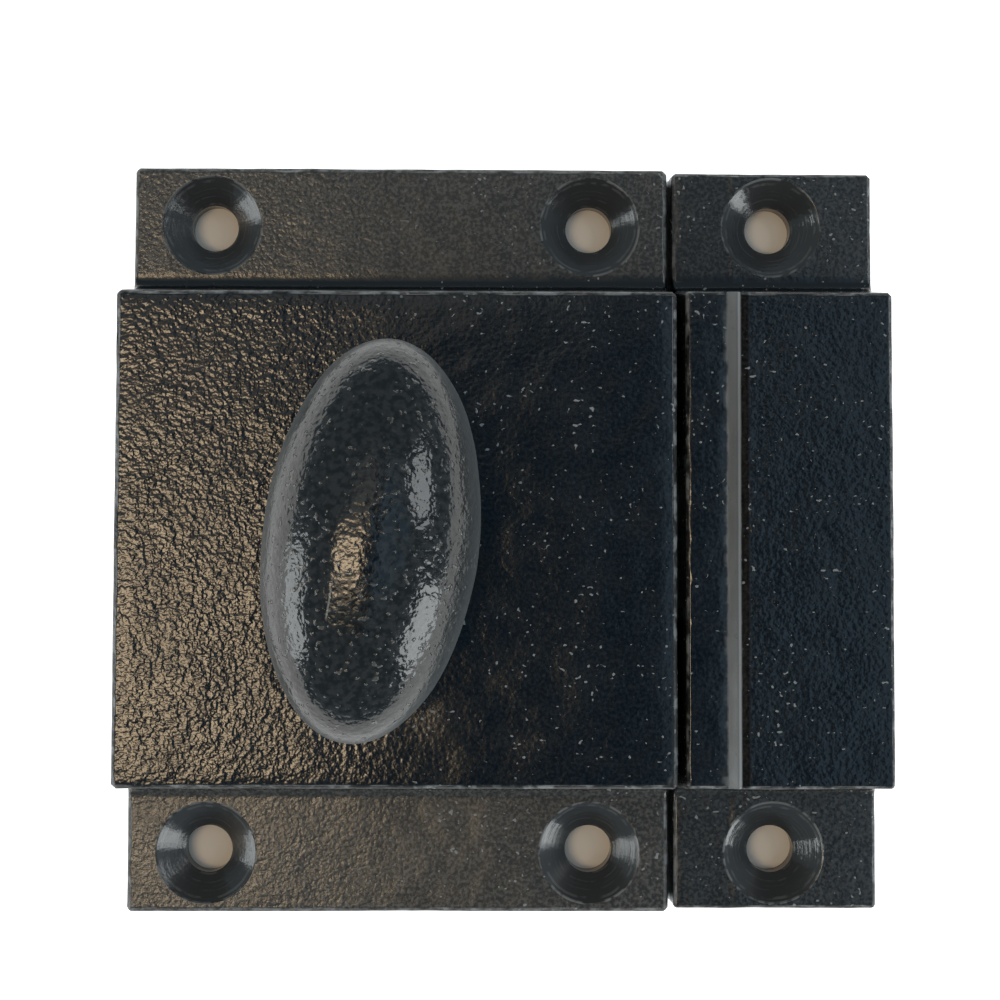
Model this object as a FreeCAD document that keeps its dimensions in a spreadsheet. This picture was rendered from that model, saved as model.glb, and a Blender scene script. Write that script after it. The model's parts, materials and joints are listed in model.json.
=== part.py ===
import FreeCAD, Part
import os

import Sketcher

# Cupboard catch: a cast latch with a sprung bolt turned back by an egg knob, and its keeper.
# It lies on its back: X runs to the keeper, Y up the door, Z out of the front, in millimetres.
# The origin is the middle of the case's four screws, on the mounting plane.

os.makedirs("parts", exist_ok=True)
doc = FreeCAD.newDocument("cupboard_catch")

# Driving sizes
SIZES = {
    "case_width": 47.0,
    "case_height": 65.0,
    "case_depth": 13.0,
    "flange_thick": 4.0,
    "face_height": 41.4,
    "wall_draft": 1.1,
    "root_round": 1.0,
    "edge_round": 0.45,
    "side_wall": 3.0,
    "front_wall": 3.0,
    "cavity_height": 35.4,
    "screw_side": 6.85,
    "screw_shift": 0.25,
    "screw_hole": 4.1,
    "screw_sink": 8.7,
    "sink_angle": 90.0,
    "plate_ledge": 1.1,
    "plate_seat": 2.0,
    "plate_thick": 1.2,
    "plate_play": 0.15,
    "plate_corner": 1.2,
    "rivet_offset": 15.6,
    "rivet_shank": 2.4,
    "rivet_head": 4.2,
    "rivet_head_thick": 0.6,
    "rivet_grip": 5.0,
    "rivet_play": 0.03,
    "post_width": 5.0,
    "rib_thick": 2.0,
    "rib_inset": 3.0,
    "spindle_x": -1.6,
    "journal": 8.0,
    "journal_play": 0.06,
    "boss_width": 13.0,
    "boss_rise": 1.4,
    "knob_length": 31.8,
    "knob_width": 17.0,
    "knob_thick": 16.4,
    "knob_lift": 2.0,
    "knob_lean": 6.9,
    "neck_foot": 10.8,
    "neck_foot_thick": 0.9,
    "neck_waist": 9.2,
    "neck_round": 0.8,
    "turn_gap": 0.15,
    "stem": 6.0,
    "stem_reach": 10.0,
    "stem_play": 0.01,
    "square": 5.0,
    "square_play": 0.03,
    "peen_width": 6.6,
    "peen_thick": 0.6,
    "cam_lean": 20.0,
    "cam_hub": 9.0,
    "cam_reach": 7.3,
    "cam_pad": 3.0,
    "cam_arm": 2.2,
    "cam_arm_thick": 3.6,
    "bolt_thick": 5.0,
    "bolt_play": 0.2,
    "bolt_width": 24.0,
    "bolt_tail": 11.5,
    "nose_width": 12.0,
    "nose_reach": 4.8,
    "nose_bevel": 4.2,
    "window_ahead": 10.2,
    "window_behind": 5.2,
    "window_above": 6.0,
    "window_below": 9.3,
    "lug_gap": 0.15,
    "lug_rise": 2.3,
    "lug_top": 5.3,
    "lug_bevel": 1.25,
    "stop_gap": 0.1,
    "spigot": 3.0,
    "spigot_length": 1.5,
    "coil_wire": 0.6,
    "coil_width": 4.9,
    "coil_turns": 5.5,
    "coil_play": 0.02,
    "keeper_gap": 0.3,
    "keeper_width": 17.8,
    "keeper_short": 0.3,
    "lip_width": 4.0,
    "lip_drop": 0.8,
    "lip_slope": 1.0,
    "lip_lean": 0.5,
    "mouth_width": 14.4,
    "mouth_height": 7.9,
    "keeper_wall": 3.6,
    "keeper_round": 0.35,
    "overshoot": 1.0,
}

sheet = doc.addObject("Spreadsheet::Sheet", "Sizes")
for row, (name, size) in enumerate(SIZES.items(), start=1):
    sheet.set("A" + str(row), name)
    sheet.set("B" + str(row), str(size))
    sheet.setAlias("B" + str(row), name)
doc.recompute()

# Sizes that follow from the driving ones
FOLLOWING = {
    "half_width": "Sizes.case_width / 2",
    "wall_x": "Sizes.case_width / 2 - Sizes.side_wall",
    "foot_height": "Sizes.face_height + 2 * Sizes.wall_draft",
    "screw_pitch_x": "Sizes.case_width - 2 * Sizes.screw_side",
    "keeper_height": "Sizes.case_height - 2 * Sizes.keeper_short",
    "inner_depth": "Sizes.case_depth - Sizes.front_wall",
    "bolt_back": "Sizes.plate_seat + Sizes.bolt_play",
    "rib_start": "Sizes.plate_seat + Sizes.plate_play",
    "rib_y": "Sizes.bolt_width / 2 + Sizes.bolt_play",
    "keeper_x": "Sizes.case_width / 2 + Sizes.keeper_gap",
}
for row, (name, text) in enumerate(FOLLOWING.items(), start=1):
    sheet.set("D" + str(row), name)
    sheet.set("E" + str(row), "=" + text.replace("Sizes.", ""))
    sheet.setAlias("E" + str(row), name)
FURTHER = {
    "screw_pitch_y": "(Sizes.case_height + Sizes.foot_height) / 2 + 2 * Sizes.screw_shift",
    "slide_z": "Sizes.bolt_back + Sizes.bolt_thick / 2",
    "hub_top": "Sizes.inner_depth - Sizes.boss_rise - Sizes.turn_gap",
    "hub_back": "Sizes.bolt_back + Sizes.peen_thick + Sizes.turn_gap",
    "knob_foot": "Sizes.case_depth + Sizes.turn_gap",
    "shoulder_x": "Sizes.wall_x - Sizes.stop_gap",
    "nose_x": "Sizes.half_width + Sizes.nose_reach",
    "keeper_end": "Sizes.keeper_x + Sizes.keeper_width",
    "tail_x": "-Sizes.bolt_tail",
}
for row, (name, text) in enumerate(FURTHER.items(), start=1):
    sheet.set("G" + str(row), name)
    sheet.set("H" + str(row), "=" + text.replace("Sizes.", ""))
    sheet.setAlias("H" + str(row), name)
doc.recompute()


def size(name):
    return float(sheet.get(name))


def new_body(label):
    body = doc.addObject("PartDesign::Body", label)
    body.Label = label
    return body


def new_sketch(body, name, role, offset=None):
    sketch = body.newObject("Sketcher::SketchObject", name)
    origin_plane = next(item for item in body.Origin.OriginFeatures if item.Role == role)
    sketch.AttachmentSupport = [(origin_plane, "")]
    sketch.MapMode = "FlatFace"
    if offset:
        sketch.setExpression("AttachmentOffset.Base.z", offset)
    return sketch


def hold_point(sketch, geometry, end, tag, where):
    # Ties one point to the sheet by its two distances from the sketch's origin
    point = sketch.getPoint(geometry, end)
    for axis, text, now in (("X", where[0], point.x), ("Y", where[1], point.y)):
        index = sketch.addConstraint(Sketcher.Constraint("Distance" + axis, -1, 1, geometry, end, now))
        sketch.renameConstraint(index, tag + axis)
        sketch.setExpression("Constraints." + tag + axis, text)


def draw_polygon(sketch, points, tag="p"):
    # Corners start on a circle and are pulled to their places by the sheet
    count = len(points)
    turn = FreeCAD.Rotation(FreeCAD.Vector(0, 0, 1), 360.0 / count)
    corners = [FreeCAD.Vector(size("half_width"), size("flange_thick"), 0)]
    for _ in range(count - 1):
        corners.append(turn.multVec(corners[-1]))
    first = sketch.GeometryCount
    for index in range(count):
        sketch.addGeometry(Part.LineSegment(corners[index], corners[(index + 1) % count]))
    for index in range(count):
        following = first + (index + 1) % count
        sketch.addConstraint(Sketcher.Constraint("Coincident", first + index, 2, following, 1))
    for index, where in enumerate(points):
        hold_point(sketch, first + index, 1, tag + str(index), where)


def draw_box(sketch, low_x, high_x, low_y, high_y, tag="p"):
    corners = [(low_x, low_y), (high_x, low_y), (high_x, high_y), (low_x, high_y)]
    draw_polygon(sketch, corners, tag)


def draw_circle(sketch, where, diameter, tag="c"):
    # A circle starts as the spindle's stem and is pulled to its place by the sheet
    start = FreeCAD.Vector(size("stem"), size("stem"), 0)
    circle = Part.Circle(start, FreeCAD.Vector(0, 0, 1), size("stem") / 2)
    index = sketch.addGeometry(circle)
    constraint = sketch.addConstraint(Sketcher.Constraint("Diameter", index, size("stem")))
    sketch.renameConstraint(constraint, tag + "D")
    sketch.setExpression("Constraints." + tag + "D", diameter)
    hold_point(sketch, index, 3, tag, where)


def shape_from(body, kind, name, sketch, length, other_way=False):
    feature = body.newObject("PartDesign::" + kind, name)
    feature.Profile = sketch
    feature.Reversed = other_way
    feature.setExpression("Length", length)
    doc.recompute()
    return feature


def round_edges(body, name, radius, chosen):
    base = body.Tip
    names = []
    for number, edge in enumerate(base.Shape.Edges, start=1):
        if chosen(edge.BoundBox):
            names.append("Edge" + str(number))
    feature = body.newObject("PartDesign::Fillet", name)
    feature.Base = (base, names)
    feature.setExpression("Radius", radius)
    doc.recompute()
    return feature


def same(one, other):
    return abs(one - other) < 0.001


def hat_section(body, name, start, width, height):
    # Hat profile across the flanges and the raised box, run along X
    sketch = new_sketch(body, name + "Sketch", "YZ_Plane", start)
    half = [
        (height + " / 2", "0"),
        (height + " / 2", "Sizes.flange_thick"),
        ("Sizes.foot_height / 2", "Sizes.flange_thick"),
        ("Sizes.face_height / 2", "Sizes.case_depth"),
    ]
    mirrored = [("-" + y, z) for y, z in reversed(half)]
    draw_polygon(sketch, half + mirrored)
    return shape_from(body, "Pad", name, sketch, width)


def screw_holes(body, name, places):
    sketch = new_sketch(body, name + "Sketch", "XY_Plane", "Sizes.flange_thick")
    for number, where in enumerate(places):
        draw_circle(sketch, where, "Sizes.screw_hole", "c" + str(number))
    doc.recompute()
    hole = body.newObject("PartDesign::Hole", name)
    hole.Profile = sketch
    hole.Threaded = False
    hole.DepthType = "ThroughAll"
    hole.HoleCutType = "Countersink"
    hole.HoleCutCustomValues = True
    hole.setExpression("Diameter", "Sizes.screw_hole")
    hole.setExpression("HoleCutDiameter", "Sizes.screw_sink")
    hole.setExpression("HoleCutCountersinkAngle", "Sizes.sink_angle")
    doc.recompute()
    return hole


# Latch case: hat section, hollowed from the back
case = new_body("latch_case")
hat_section(case, "CaseHat", "-Sizes.half_width", "Sizes.case_width", "Sizes.case_height")
round_edges(case, "CaseRoot", "Sizes.root_round",
            lambda box: same(box.ZMin, size("flange_thick")) and same(box.ZMax, size("flange_thick"))
            and same(abs(box.Center.y), size("foot_height") / 2))
round_edges(case, "CaseBrows", "Sizes.edge_round",
            lambda box: box.XLength > 1 and same(box.ZMin, box.ZMax) and box.ZMin > 1
            and (same(box.ZMin, size("case_depth")) or same(abs(box.Center.y), size("case_height") / 2)))
round_edges(case, "CaseEnds", "Sizes.edge_round",
            lambda box: box.XLength < 0.001 and box.ZMax > 0.1
            and same(abs(box.Center.x), size("half_width")))

hollow = new_sketch(case, "HollowSketch", "XY_Plane")
draw_box(hollow, "-Sizes.wall_x", "Sizes.wall_x", "-Sizes.cavity_height / 2", "Sizes.cavity_height / 2")
shape_from(case, "Pocket", "Hollow", hollow, "Sizes.inner_depth", True)

seat = new_sketch(case, "SeatSketch", "XY_Plane")
seat_x = "Sizes.wall_x + Sizes.plate_ledge"
seat_y = "Sizes.cavity_height / 2 + Sizes.plate_ledge"
draw_box(seat, "-(" + seat_x + ")", seat_x, "-(" + seat_y + ")", seat_y)
shape_from(case, "Pocket", "Seat", seat, "Sizes.plate_seat", True)

ribs = new_sketch(case, "RibSketch", "XY_Plane", "Sizes.rib_start")
rib_end = "Sizes.wall_x - Sizes.rib_inset"
rib_far = "Sizes.rib_y + Sizes.rib_thick"
draw_box(ribs, "-(" + rib_end + ")", rib_end, "Sizes.rib_y", rib_far, "up")
draw_box(ribs, "-(" + rib_end + ")", rib_end, "-(" + rib_far + ")", "-Sizes.rib_y", "low")
shape_from(case, "Pad", "GuideRibs", ribs, "Sizes.inner_depth - Sizes.rib_start + Sizes.front_wall / 4")

posts = new_sketch(case, "PostSketch", "XY_Plane", "Sizes.plate_seat")
draw_circle(posts, ("0", "Sizes.rivet_offset"), "Sizes.post_width", "up")
draw_circle(posts, ("0", "-Sizes.rivet_offset"), "Sizes.post_width", "low")
shape_from(case, "Pad", "RivetPosts", posts, "Sizes.inner_depth - Sizes.plate_seat + Sizes.front_wall / 4")

boss = new_sketch(case, "BossSketch", "XY_Plane", "Sizes.inner_depth - Sizes.boss_rise")
draw_circle(boss, ("Sizes.spindle_x", "0"), "Sizes.boss_width")
shape_from(case, "Pad", "SpindleBoss", boss, "Sizes.boss_rise + Sizes.front_wall / 4")

peg = new_sketch(case, "PegSketch", "YZ_Plane", "-Sizes.wall_x - Sizes.side_wall / 4")
draw_circle(peg, ("0", "Sizes.slide_z"), "Sizes.spigot")
shape_from(case, "Pad", "SpringPeg", peg, "Sizes.spigot_length + Sizes.side_wall / 4")

bore = new_sketch(case, "BoreSketch", "XY_Plane")
draw_circle(bore, ("Sizes.spindle_x", "0"), "Sizes.journal + 2 * Sizes.journal_play")
shape_from(case, "Pocket", "SpindleBore", bore, "Sizes.case_depth + Sizes.overshoot", True)

rivet_bores = new_sketch(case, "RivetBoreSketch", "XY_Plane", "Sizes.plate_seat")
draw_circle(rivet_bores, ("0", "Sizes.rivet_offset"), "Sizes.rivet_shank + 2 * Sizes.rivet_play", "up")
draw_circle(rivet_bores, ("0", "-Sizes.rivet_offset"), "Sizes.rivet_shank + 2 * Sizes.rivet_play", "low")
shape_from(case, "Pocket", "RivetBores", rivet_bores, "Sizes.rivet_grip + Sizes.plate_play", True)

slot = new_sketch(case, "SlotSketch", "YZ_Plane", "Sizes.wall_x - Sizes.plate_play")
slot_half = "Sizes.nose_width / 2 + Sizes.bolt_play"
slot_top = "Sizes.bolt_back + Sizes.bolt_thick + Sizes.bolt_play"
draw_box(slot, "-(" + slot_half + ")", slot_half, "Sizes.plate_seat", slot_top)
shape_from(case, "Pocket", "BoltSlot", slot, "Sizes.side_wall + Sizes.overshoot", True)

half_x = "Sizes.screw_pitch_x / 2"
half_y = "Sizes.screw_pitch_y / 2"
screw_corners = [(x, y) for x in (half_x, "-" + half_x) for y in (half_y, "-" + half_y)]
screw_holes(case, "CaseScrews", screw_corners)

# Back plate: sheet in the rebate, with two rivet holes
plate = new_body("back_plate")
sheet_outline = new_sketch(plate, "PlateSketch", "XY_Plane", "Sizes.plate_seat - Sizes.plate_thick")
plate_x = seat_x + " - Sizes.plate_play"
plate_y = seat_y + " - Sizes.plate_play"
draw_box(sheet_outline, "-(" + plate_x + ")", plate_x, "-(" + plate_y + ")", plate_y)
shape_from(plate, "Pad", "PlateSheet", sheet_outline, "Sizes.plate_thick")
round_edges(plate, "PlateCorners", "Sizes.plate_corner", lambda box: box.XLength + box.YLength < 0.001)
plate_holes = new_sketch(plate, "PlateHoleSketch", "XY_Plane")
draw_circle(plate_holes, ("0", "Sizes.rivet_offset"), "Sizes.rivet_shank + 2 * Sizes.rivet_play", "up")
draw_circle(plate_holes, ("0", "-Sizes.rivet_offset"), "Sizes.rivet_shank + 2 * Sizes.rivet_play", "low")
shape_from(plate, "Pocket", "PlateHoles", plate_holes, "Sizes.plate_seat + Sizes.overshoot", True)

# Rivets: tapered head below the plate, shank in the case's post
rivet_shank = doc.addObject("Part::Cylinder", "RivetShank")
rivet_shank.setExpression("Radius", "Sizes.rivet_shank / 2")
rivet_shank.setExpression("Height", "Sizes.plate_thick + Sizes.rivet_grip")
rivet_head = doc.addObject("Part::Cone", "RivetHead")
rivet_head.setExpression("Radius1", "Sizes.rivet_head / 2 - Sizes.rivet_head_thick / 2")
rivet_head.setExpression("Radius2", "Sizes.rivet_head / 2")
rivet_head.setExpression("Height", "Sizes.rivet_head_thick")
plate_under = "Sizes.plate_seat - Sizes.plate_thick"
for piece, level in ((rivet_shank, plate_under), (rivet_head, plate_under + " - Sizes.rivet_head_thick")):
    piece.setExpression("Placement.Base.y", "Sizes.rivet_offset")
    piece.setExpression("Placement.Base.z", level)
rivet = doc.addObject("Part::Fuse", "Rivet")
rivet.Base = rivet_shank
rivet.Tool = rivet_head
other_rivet = doc.addObject("Part::Mirroring", "OtherRivet")
other_rivet.Source = rivet
other_rivet.Normal = FreeCAD.Vector(0, 1, 0)
rivets = doc.addObject("Part::Compound", "plate_rivets")
rivets.Links = [rivet, other_rivet]
rivets.Label = "plate_rivets"

# Knob: egg on a waisted neck, bored for the spindle's stem, about its own axis
egg = doc.addObject("Part::Ellipsoid", "Egg")
egg.setExpression("Radius1", "Sizes.knob_thick / 2")
egg.setExpression("Radius2", "Sizes.knob_width / 2")
egg.setExpression("Radius3", "Sizes.knob_length / 2")
egg.Angle1 = -90
egg.setExpression("Placement.Base.z", "Sizes.knob_foot + Sizes.knob_lift + Sizes.knob_thick / 2")
neck = new_body("KnobNeck")
neck_outline = new_sketch(neck, "NeckSketch", "XZ_Plane")
waist_top = "Sizes.knob_foot + Sizes.knob_lift + Sizes.knob_thick / 3"
draw_polygon(neck_outline, [
    ("0", "Sizes.knob_foot"),
    ("Sizes.neck_foot / 2", "Sizes.knob_foot"),
    ("Sizes.neck_foot / 2", "Sizes.knob_foot + Sizes.neck_foot_thick"),
    ("Sizes.neck_waist / 2", "Sizes.knob_foot + Sizes.neck_foot_thick + Sizes.neck_round"),
    ("Sizes.neck_waist / 2", waist_top),
    ("0", waist_top),
])
turned = neck.newObject("PartDesign::Revolution", "NeckTurned")
turned.Profile = neck_outline
turned.ReferenceAxis = (neck_outline, ["V_Axis"])
turned.Angle = 360
doc.recompute()
round_edges(neck, "NeckWaist", "Sizes.neck_round",
            lambda box: same(box.ZMin, box.ZMax) and same(box.XLength, size("neck_waist"))
            and box.ZMax < size("knob_foot") + size("knob_lift") + size("knob_thick") / 4)
round_edges(neck, "NeckFoot", "Sizes.neck_foot_thick / 3",
            lambda box: same(box.ZMin, box.ZMax) and same(box.XLength, size("neck_foot")))
casting = doc.addObject("Part::Fuse", "KnobCasting")
casting.Base = egg
casting.Tool = neck
socket = doc.addObject("Part::Cylinder", "KnobSocket")
socket.setExpression("Radius", "Sizes.stem / 2 + Sizes.stem_play")
socket.setExpression("Height", "Sizes.stem_reach + Sizes.turn_gap + Sizes.overshoot")
socket.setExpression("Placement.Base.z", "Sizes.knob_foot - Sizes.overshoot")
knob = doc.addObject("Part::Cut", "knob")
knob.Base = casting
knob.Tool = socket
knob.Label = "knob"
knob.Placement = FreeCAD.Placement(FreeCAD.Vector(), FreeCAD.Rotation(FreeCAD.Vector(0, 0, 1), -1))
knob.setExpression("Placement.Base.x", "Sizes.spindle_x")
knob.setExpression("Placement.Rotation.Angle", "-Sizes.knob_lean")

# Spindle: stem in the knob, round journal in the case, square for the cam, peened tail
stem = doc.addObject("Part::Cylinder", "Stem")
stem.setExpression("Radius", "Sizes.stem / 2")
stem.setExpression("Height", "Sizes.stem_reach + Sizes.turn_gap")
stem.setExpression("Placement.Base.z", "Sizes.knob_foot - Sizes.turn_gap")
journal = doc.addObject("Part::Cylinder", "Journal")
journal.setExpression("Radius", "Sizes.journal / 2")
journal.setExpression("Height", "Sizes.knob_foot - Sizes.hub_top")
journal.setExpression("Placement.Base.z", "Sizes.hub_top")
drive = doc.addObject("Part::Box", "Drive")
drive.setExpression("Length", "Sizes.square")
drive.setExpression("Width", "Sizes.square")
drive.setExpression("Height", "Sizes.hub_top - Sizes.hub_back")
drive.setExpression("Placement.Base.x", "-Sizes.square / 2")
drive.setExpression("Placement.Base.y", "-Sizes.square / 2")
drive.setExpression("Placement.Base.z", "Sizes.hub_back")
peen = doc.addObject("Part::Cylinder", "Peen")
peen.setExpression("Radius", "Sizes.peen_width / 2")
peen.setExpression("Height", "Sizes.peen_thick")
peen.setExpression("Placement.Base.z", "Sizes.hub_back - Sizes.peen_thick")
spindle = doc.addObject("Part::MultiFuse", "spindle")
spindle.Shapes = [stem, journal, drive, peen]
spindle.Label = "spindle"

# Cam follower: hub on the square, one arm with a round pad
hub = doc.addObject("Part::Cylinder", "Hub")
hub.setExpression("Radius", "Sizes.cam_hub / 2")
hub.setExpression("Height", "Sizes.hub_top - Sizes.hub_back")
hub.setExpression("Placement.Base.z", "Sizes.hub_back")
arm_back = "Sizes.slide_z - Sizes.cam_arm_thick / 2"
arm = doc.addObject("Part::Box", "Arm")
arm.setExpression("Length", "Sizes.cam_arm")
arm.setExpression("Width", "Sizes.cam_reach")
arm.setExpression("Height", "Sizes.cam_arm_thick")
arm.setExpression("Placement.Base.x", "-Sizes.cam_arm / 2")
arm.setExpression("Placement.Base.y", "-Sizes.cam_reach")
arm.setExpression("Placement.Base.z", arm_back)
pad = doc.addObject("Part::Cylinder", "Pad")
pad.setExpression("Radius", "Sizes.cam_pad / 2")
pad.setExpression("Height", "Sizes.cam_arm_thick")
pad.setExpression("Placement.Base.y", "-Sizes.cam_reach")
pad.setExpression("Placement.Base.z", arm_back)
cam_blank = doc.addObject("Part::MultiFuse", "CamBlank")
cam_blank.Shapes = [hub, arm, pad]
cam_hole = doc.addObject("Part::Box", "CamHole")
for side in ("Length", "Width"):
    cam_hole.setExpression(side, "Sizes.square + 2 * Sizes.square_play")
for side in ("x", "y"):
    cam_hole.setExpression("Placement.Base." + side, "-Sizes.square / 2 - Sizes.square_play")
cam_hole.setExpression("Height", "Sizes.case_depth")
cam = doc.addObject("Part::Cut", "cam_follower")
cam.Base = cam_blank
cam.Tool = cam_hole
cam.Label = "cam_follower"
for piece in (spindle, cam):
    piece.Placement = FreeCAD.Placement(FreeCAD.Vector(), FreeCAD.Rotation(FreeCAD.Vector(0, 0, 1), 1))
    piece.setExpression("Placement.Base.x", "Sizes.spindle_x")
    piece.setExpression("Placement.Rotation.Angle", "Sizes.cam_lean")

# Bolt: wide tail in the case, narrow nose through the wall, window and lug for the cam
bolt = new_body("latch_bolt")
outline = new_sketch(bolt, "BoltSketch", "XY_Plane", "Sizes.bolt_back")
upper = [
    ("Sizes.nose_x", "Sizes.nose_width / 2"),
    ("Sizes.shoulder_x", "Sizes.nose_width / 2"),
    ("Sizes.shoulder_x", "Sizes.bolt_width / 2"),
    ("Sizes.tail_x", "Sizes.bolt_width / 2"),
]
draw_polygon(outline, upper + [(x, "-" + y) for x, y in reversed(upper)])
shape_from(bolt, "Pad", "BoltBar", outline, "Sizes.bolt_thick")
window = new_sketch(bolt, "WindowSketch", "XY_Plane")
window_left = "Sizes.spindle_x - Sizes.window_behind"
window_right = "Sizes.spindle_x + Sizes.window_ahead"
pad_x = "Sizes.spindle_x + Sizes.cam_reach * sin(Sizes.cam_lean * 1 deg)"
lug_face = pad_x + " - Sizes.cam_pad / 2 - Sizes.lug_gap"
lug_knee = "-Sizes.window_below + Sizes.lug_rise"
draw_polygon(window, [
    (window_left, "Sizes.window_above"),
    (window_left, "-Sizes.lug_top"),
    (lug_face + " - Sizes.lug_bevel", "-Sizes.lug_top"),
    (lug_face, lug_knee),
    (lug_face, "-Sizes.window_below"),
    (window_right, "-Sizes.window_below"),
    (window_right, "Sizes.window_above"),
])
shape_from(bolt, "Pocket", "Window", window, "Sizes.case_depth", True)
bevel = new_sketch(bolt, "BevelSketch", "XZ_Plane", "-Sizes.nose_width")
draw_polygon(bevel, [
    ("Sizes.nose_x - Sizes.nose_bevel", "Sizes.bolt_back"),
    ("Sizes.nose_x", "Sizes.bolt_back + Sizes.nose_bevel"),
    ("Sizes.nose_x + Sizes.nose_bevel", "Sizes.bolt_back - Sizes.nose_bevel"),
])
shape_from(bolt, "Pocket", "Bevel", bevel, "2 * Sizes.nose_width", True)
tail_peg = new_sketch(bolt, "TailPegSketch", "YZ_Plane", "Sizes.tail_x + Sizes.spigot_length")
draw_circle(tail_peg, ("0", "Sizes.slide_z"), "Sizes.spigot")
shape_from(bolt, "Pad", "TailPeg", tail_peg, "2 * Sizes.spigot_length", True)

# Spring: coil between the case's left wall and the bolt's tail
coil_length = "Sizes.wall_x - Sizes.bolt_tail - Sizes.coil_wire - 2 * Sizes.coil_play"
coil_path = doc.addObject("Part::Helix", "CoilPath")
coil_path.setExpression("Radius", "Sizes.coil_width / 2 - Sizes.coil_wire / 2")
coil_path.setExpression("Height", coil_length)
coil_path.setExpression("Pitch", "(" + coil_length + ") / Sizes.coil_turns")
wire = doc.addObject("Part::Circle", "Wire")
wire.setExpression("Radius", "Sizes.coil_wire / 2")
wire.Placement = FreeCAD.Placement(FreeCAD.Vector(), FreeCAD.Rotation(FreeCAD.Vector(1, 0, 0), 90))
wire.setExpression("Placement.Base.x", "Sizes.coil_width / 2 - Sizes.coil_wire / 2")
spring = doc.addObject("Part::Sweep", "bolt_spring")
spring.Sections = [wire]
spring.Spine = (coil_path, ["Edge1"])
spring.Solid = True
spring.Frenet = True
spring.Label = "bolt_spring"
spring.Placement = FreeCAD.Placement(FreeCAD.Vector(), FreeCAD.Rotation(FreeCAD.Vector(0, 1, 0), 90))
spring.setExpression("Placement.Base.x", "-Sizes.wall_x + Sizes.coil_wire / 2 + Sizes.coil_play")
spring.setExpression("Placement.Base.z", "Sizes.slide_z")

# Keeper: the same hat section, with a lowered lip and an open mouth towards the bolt
keeper = new_body("keeper")
hat_section(keeper, "KeeperHat", "Sizes.keeper_x", "Sizes.keeper_width", "Sizes.keeper_height")
lip = new_sketch(keeper, "LipSketch", "XZ_Plane", "-Sizes.keeper_height")
lip_level = "Sizes.case_depth - Sizes.lip_drop"
lip_end = "Sizes.keeper_x + Sizes.lip_width"
draw_polygon(lip, [
    ("Sizes.keeper_x - Sizes.overshoot", "0"),
    ("Sizes.keeper_x", "0"),
    ("Sizes.keeper_x + Sizes.lip_lean", lip_level),
    (lip_end, lip_level),
    (lip_end + " + Sizes.lip_slope", "Sizes.case_depth"),
    (lip_end + " + 2 * Sizes.lip_slope", "Sizes.case_depth + Sizes.lip_drop"),
    ("Sizes.keeper_x - Sizes.overshoot", "Sizes.case_depth + Sizes.lip_drop"),
])
shape_from(keeper, "Pocket", "Lip", lip, "2 * Sizes.keeper_height", True)
round_edges(keeper, "KeeperRoot", "Sizes.root_round",
            lambda box: same(box.ZMin, size("flange_thick")) and same(box.ZMax, size("flange_thick"))
            and same(abs(box.Center.y), size("foot_height") / 2))
round_edges(keeper, "KeeperBrows", "Sizes.keeper_round",
            lambda box: box.XLength > 1 and same(box.ZMin, box.ZMax) and box.ZMin > 1
            and (box.ZMin > size("flange_thick") + 1 or same(abs(box.Center.y), size("keeper_height") / 2)))
round_edges(keeper, "KeeperEnds", "Sizes.keeper_round",
            lambda box: box.ZMax > 0.1
            and (box.XMax < size("keeper_x") + size("lip_lean") + 0.001 or box.XMin > size("keeper_end") - 0.001))
pocket = new_sketch(keeper, "PocketSketch", "XY_Plane")
draw_box(pocket, "Sizes.keeper_x + Sizes.keeper_wall", "Sizes.keeper_end - Sizes.side_wall",
         "-Sizes.cavity_height / 2", "Sizes.cavity_height / 2")
shape_from(keeper, "Pocket", "KeeperHollow", pocket, "Sizes.inner_depth", True)
mouth = new_sketch(keeper, "MouthSketch", "YZ_Plane", "Sizes.keeper_x - Sizes.overshoot")
draw_box(mouth, "-Sizes.mouth_width / 2", "Sizes.mouth_width / 2", "-Sizes.overshoot", "Sizes.mouth_height")
shape_from(keeper, "Pocket", "Mouth", mouth, "Sizes.keeper_wall + 2 * Sizes.overshoot", True)
middle = "Sizes.keeper_x + Sizes.keeper_width / 2"
screw_holes(keeper, "KeeperScrews", [(middle, half_y), (middle, "-" + half_y)])

doc.recompute()

# Every object must stand before anything is written
for item in doc.Objects:
    if "Invalid" in item.State or "Error" in item.State:
        raise RuntimeError(item.Name + " did not build: " + str(item.State))

for node in (case, plate, rivets, spring, knob, spindle, cam, bolt, keeper):
    shape = node.Shape
    if shape.isNull() or not shape.isValid() or shape.Volume <= 0:
        raise RuntimeError(node.Label + " has no valid solid")
    shape.exportStep("parts/" + node.Label + ".step")
    box = shape.BoundBox
    print(node.Label, len(shape.Solids), round(shape.Volume, 2),
          [round(v, 3) for v in (box.XMin, box.XMax, box.YMin, box.YMax, box.ZMin, box.ZMax)])
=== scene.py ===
import bmesh
import bpy
import json
import math
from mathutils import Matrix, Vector, noise
from types import SimpleNamespace


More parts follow.
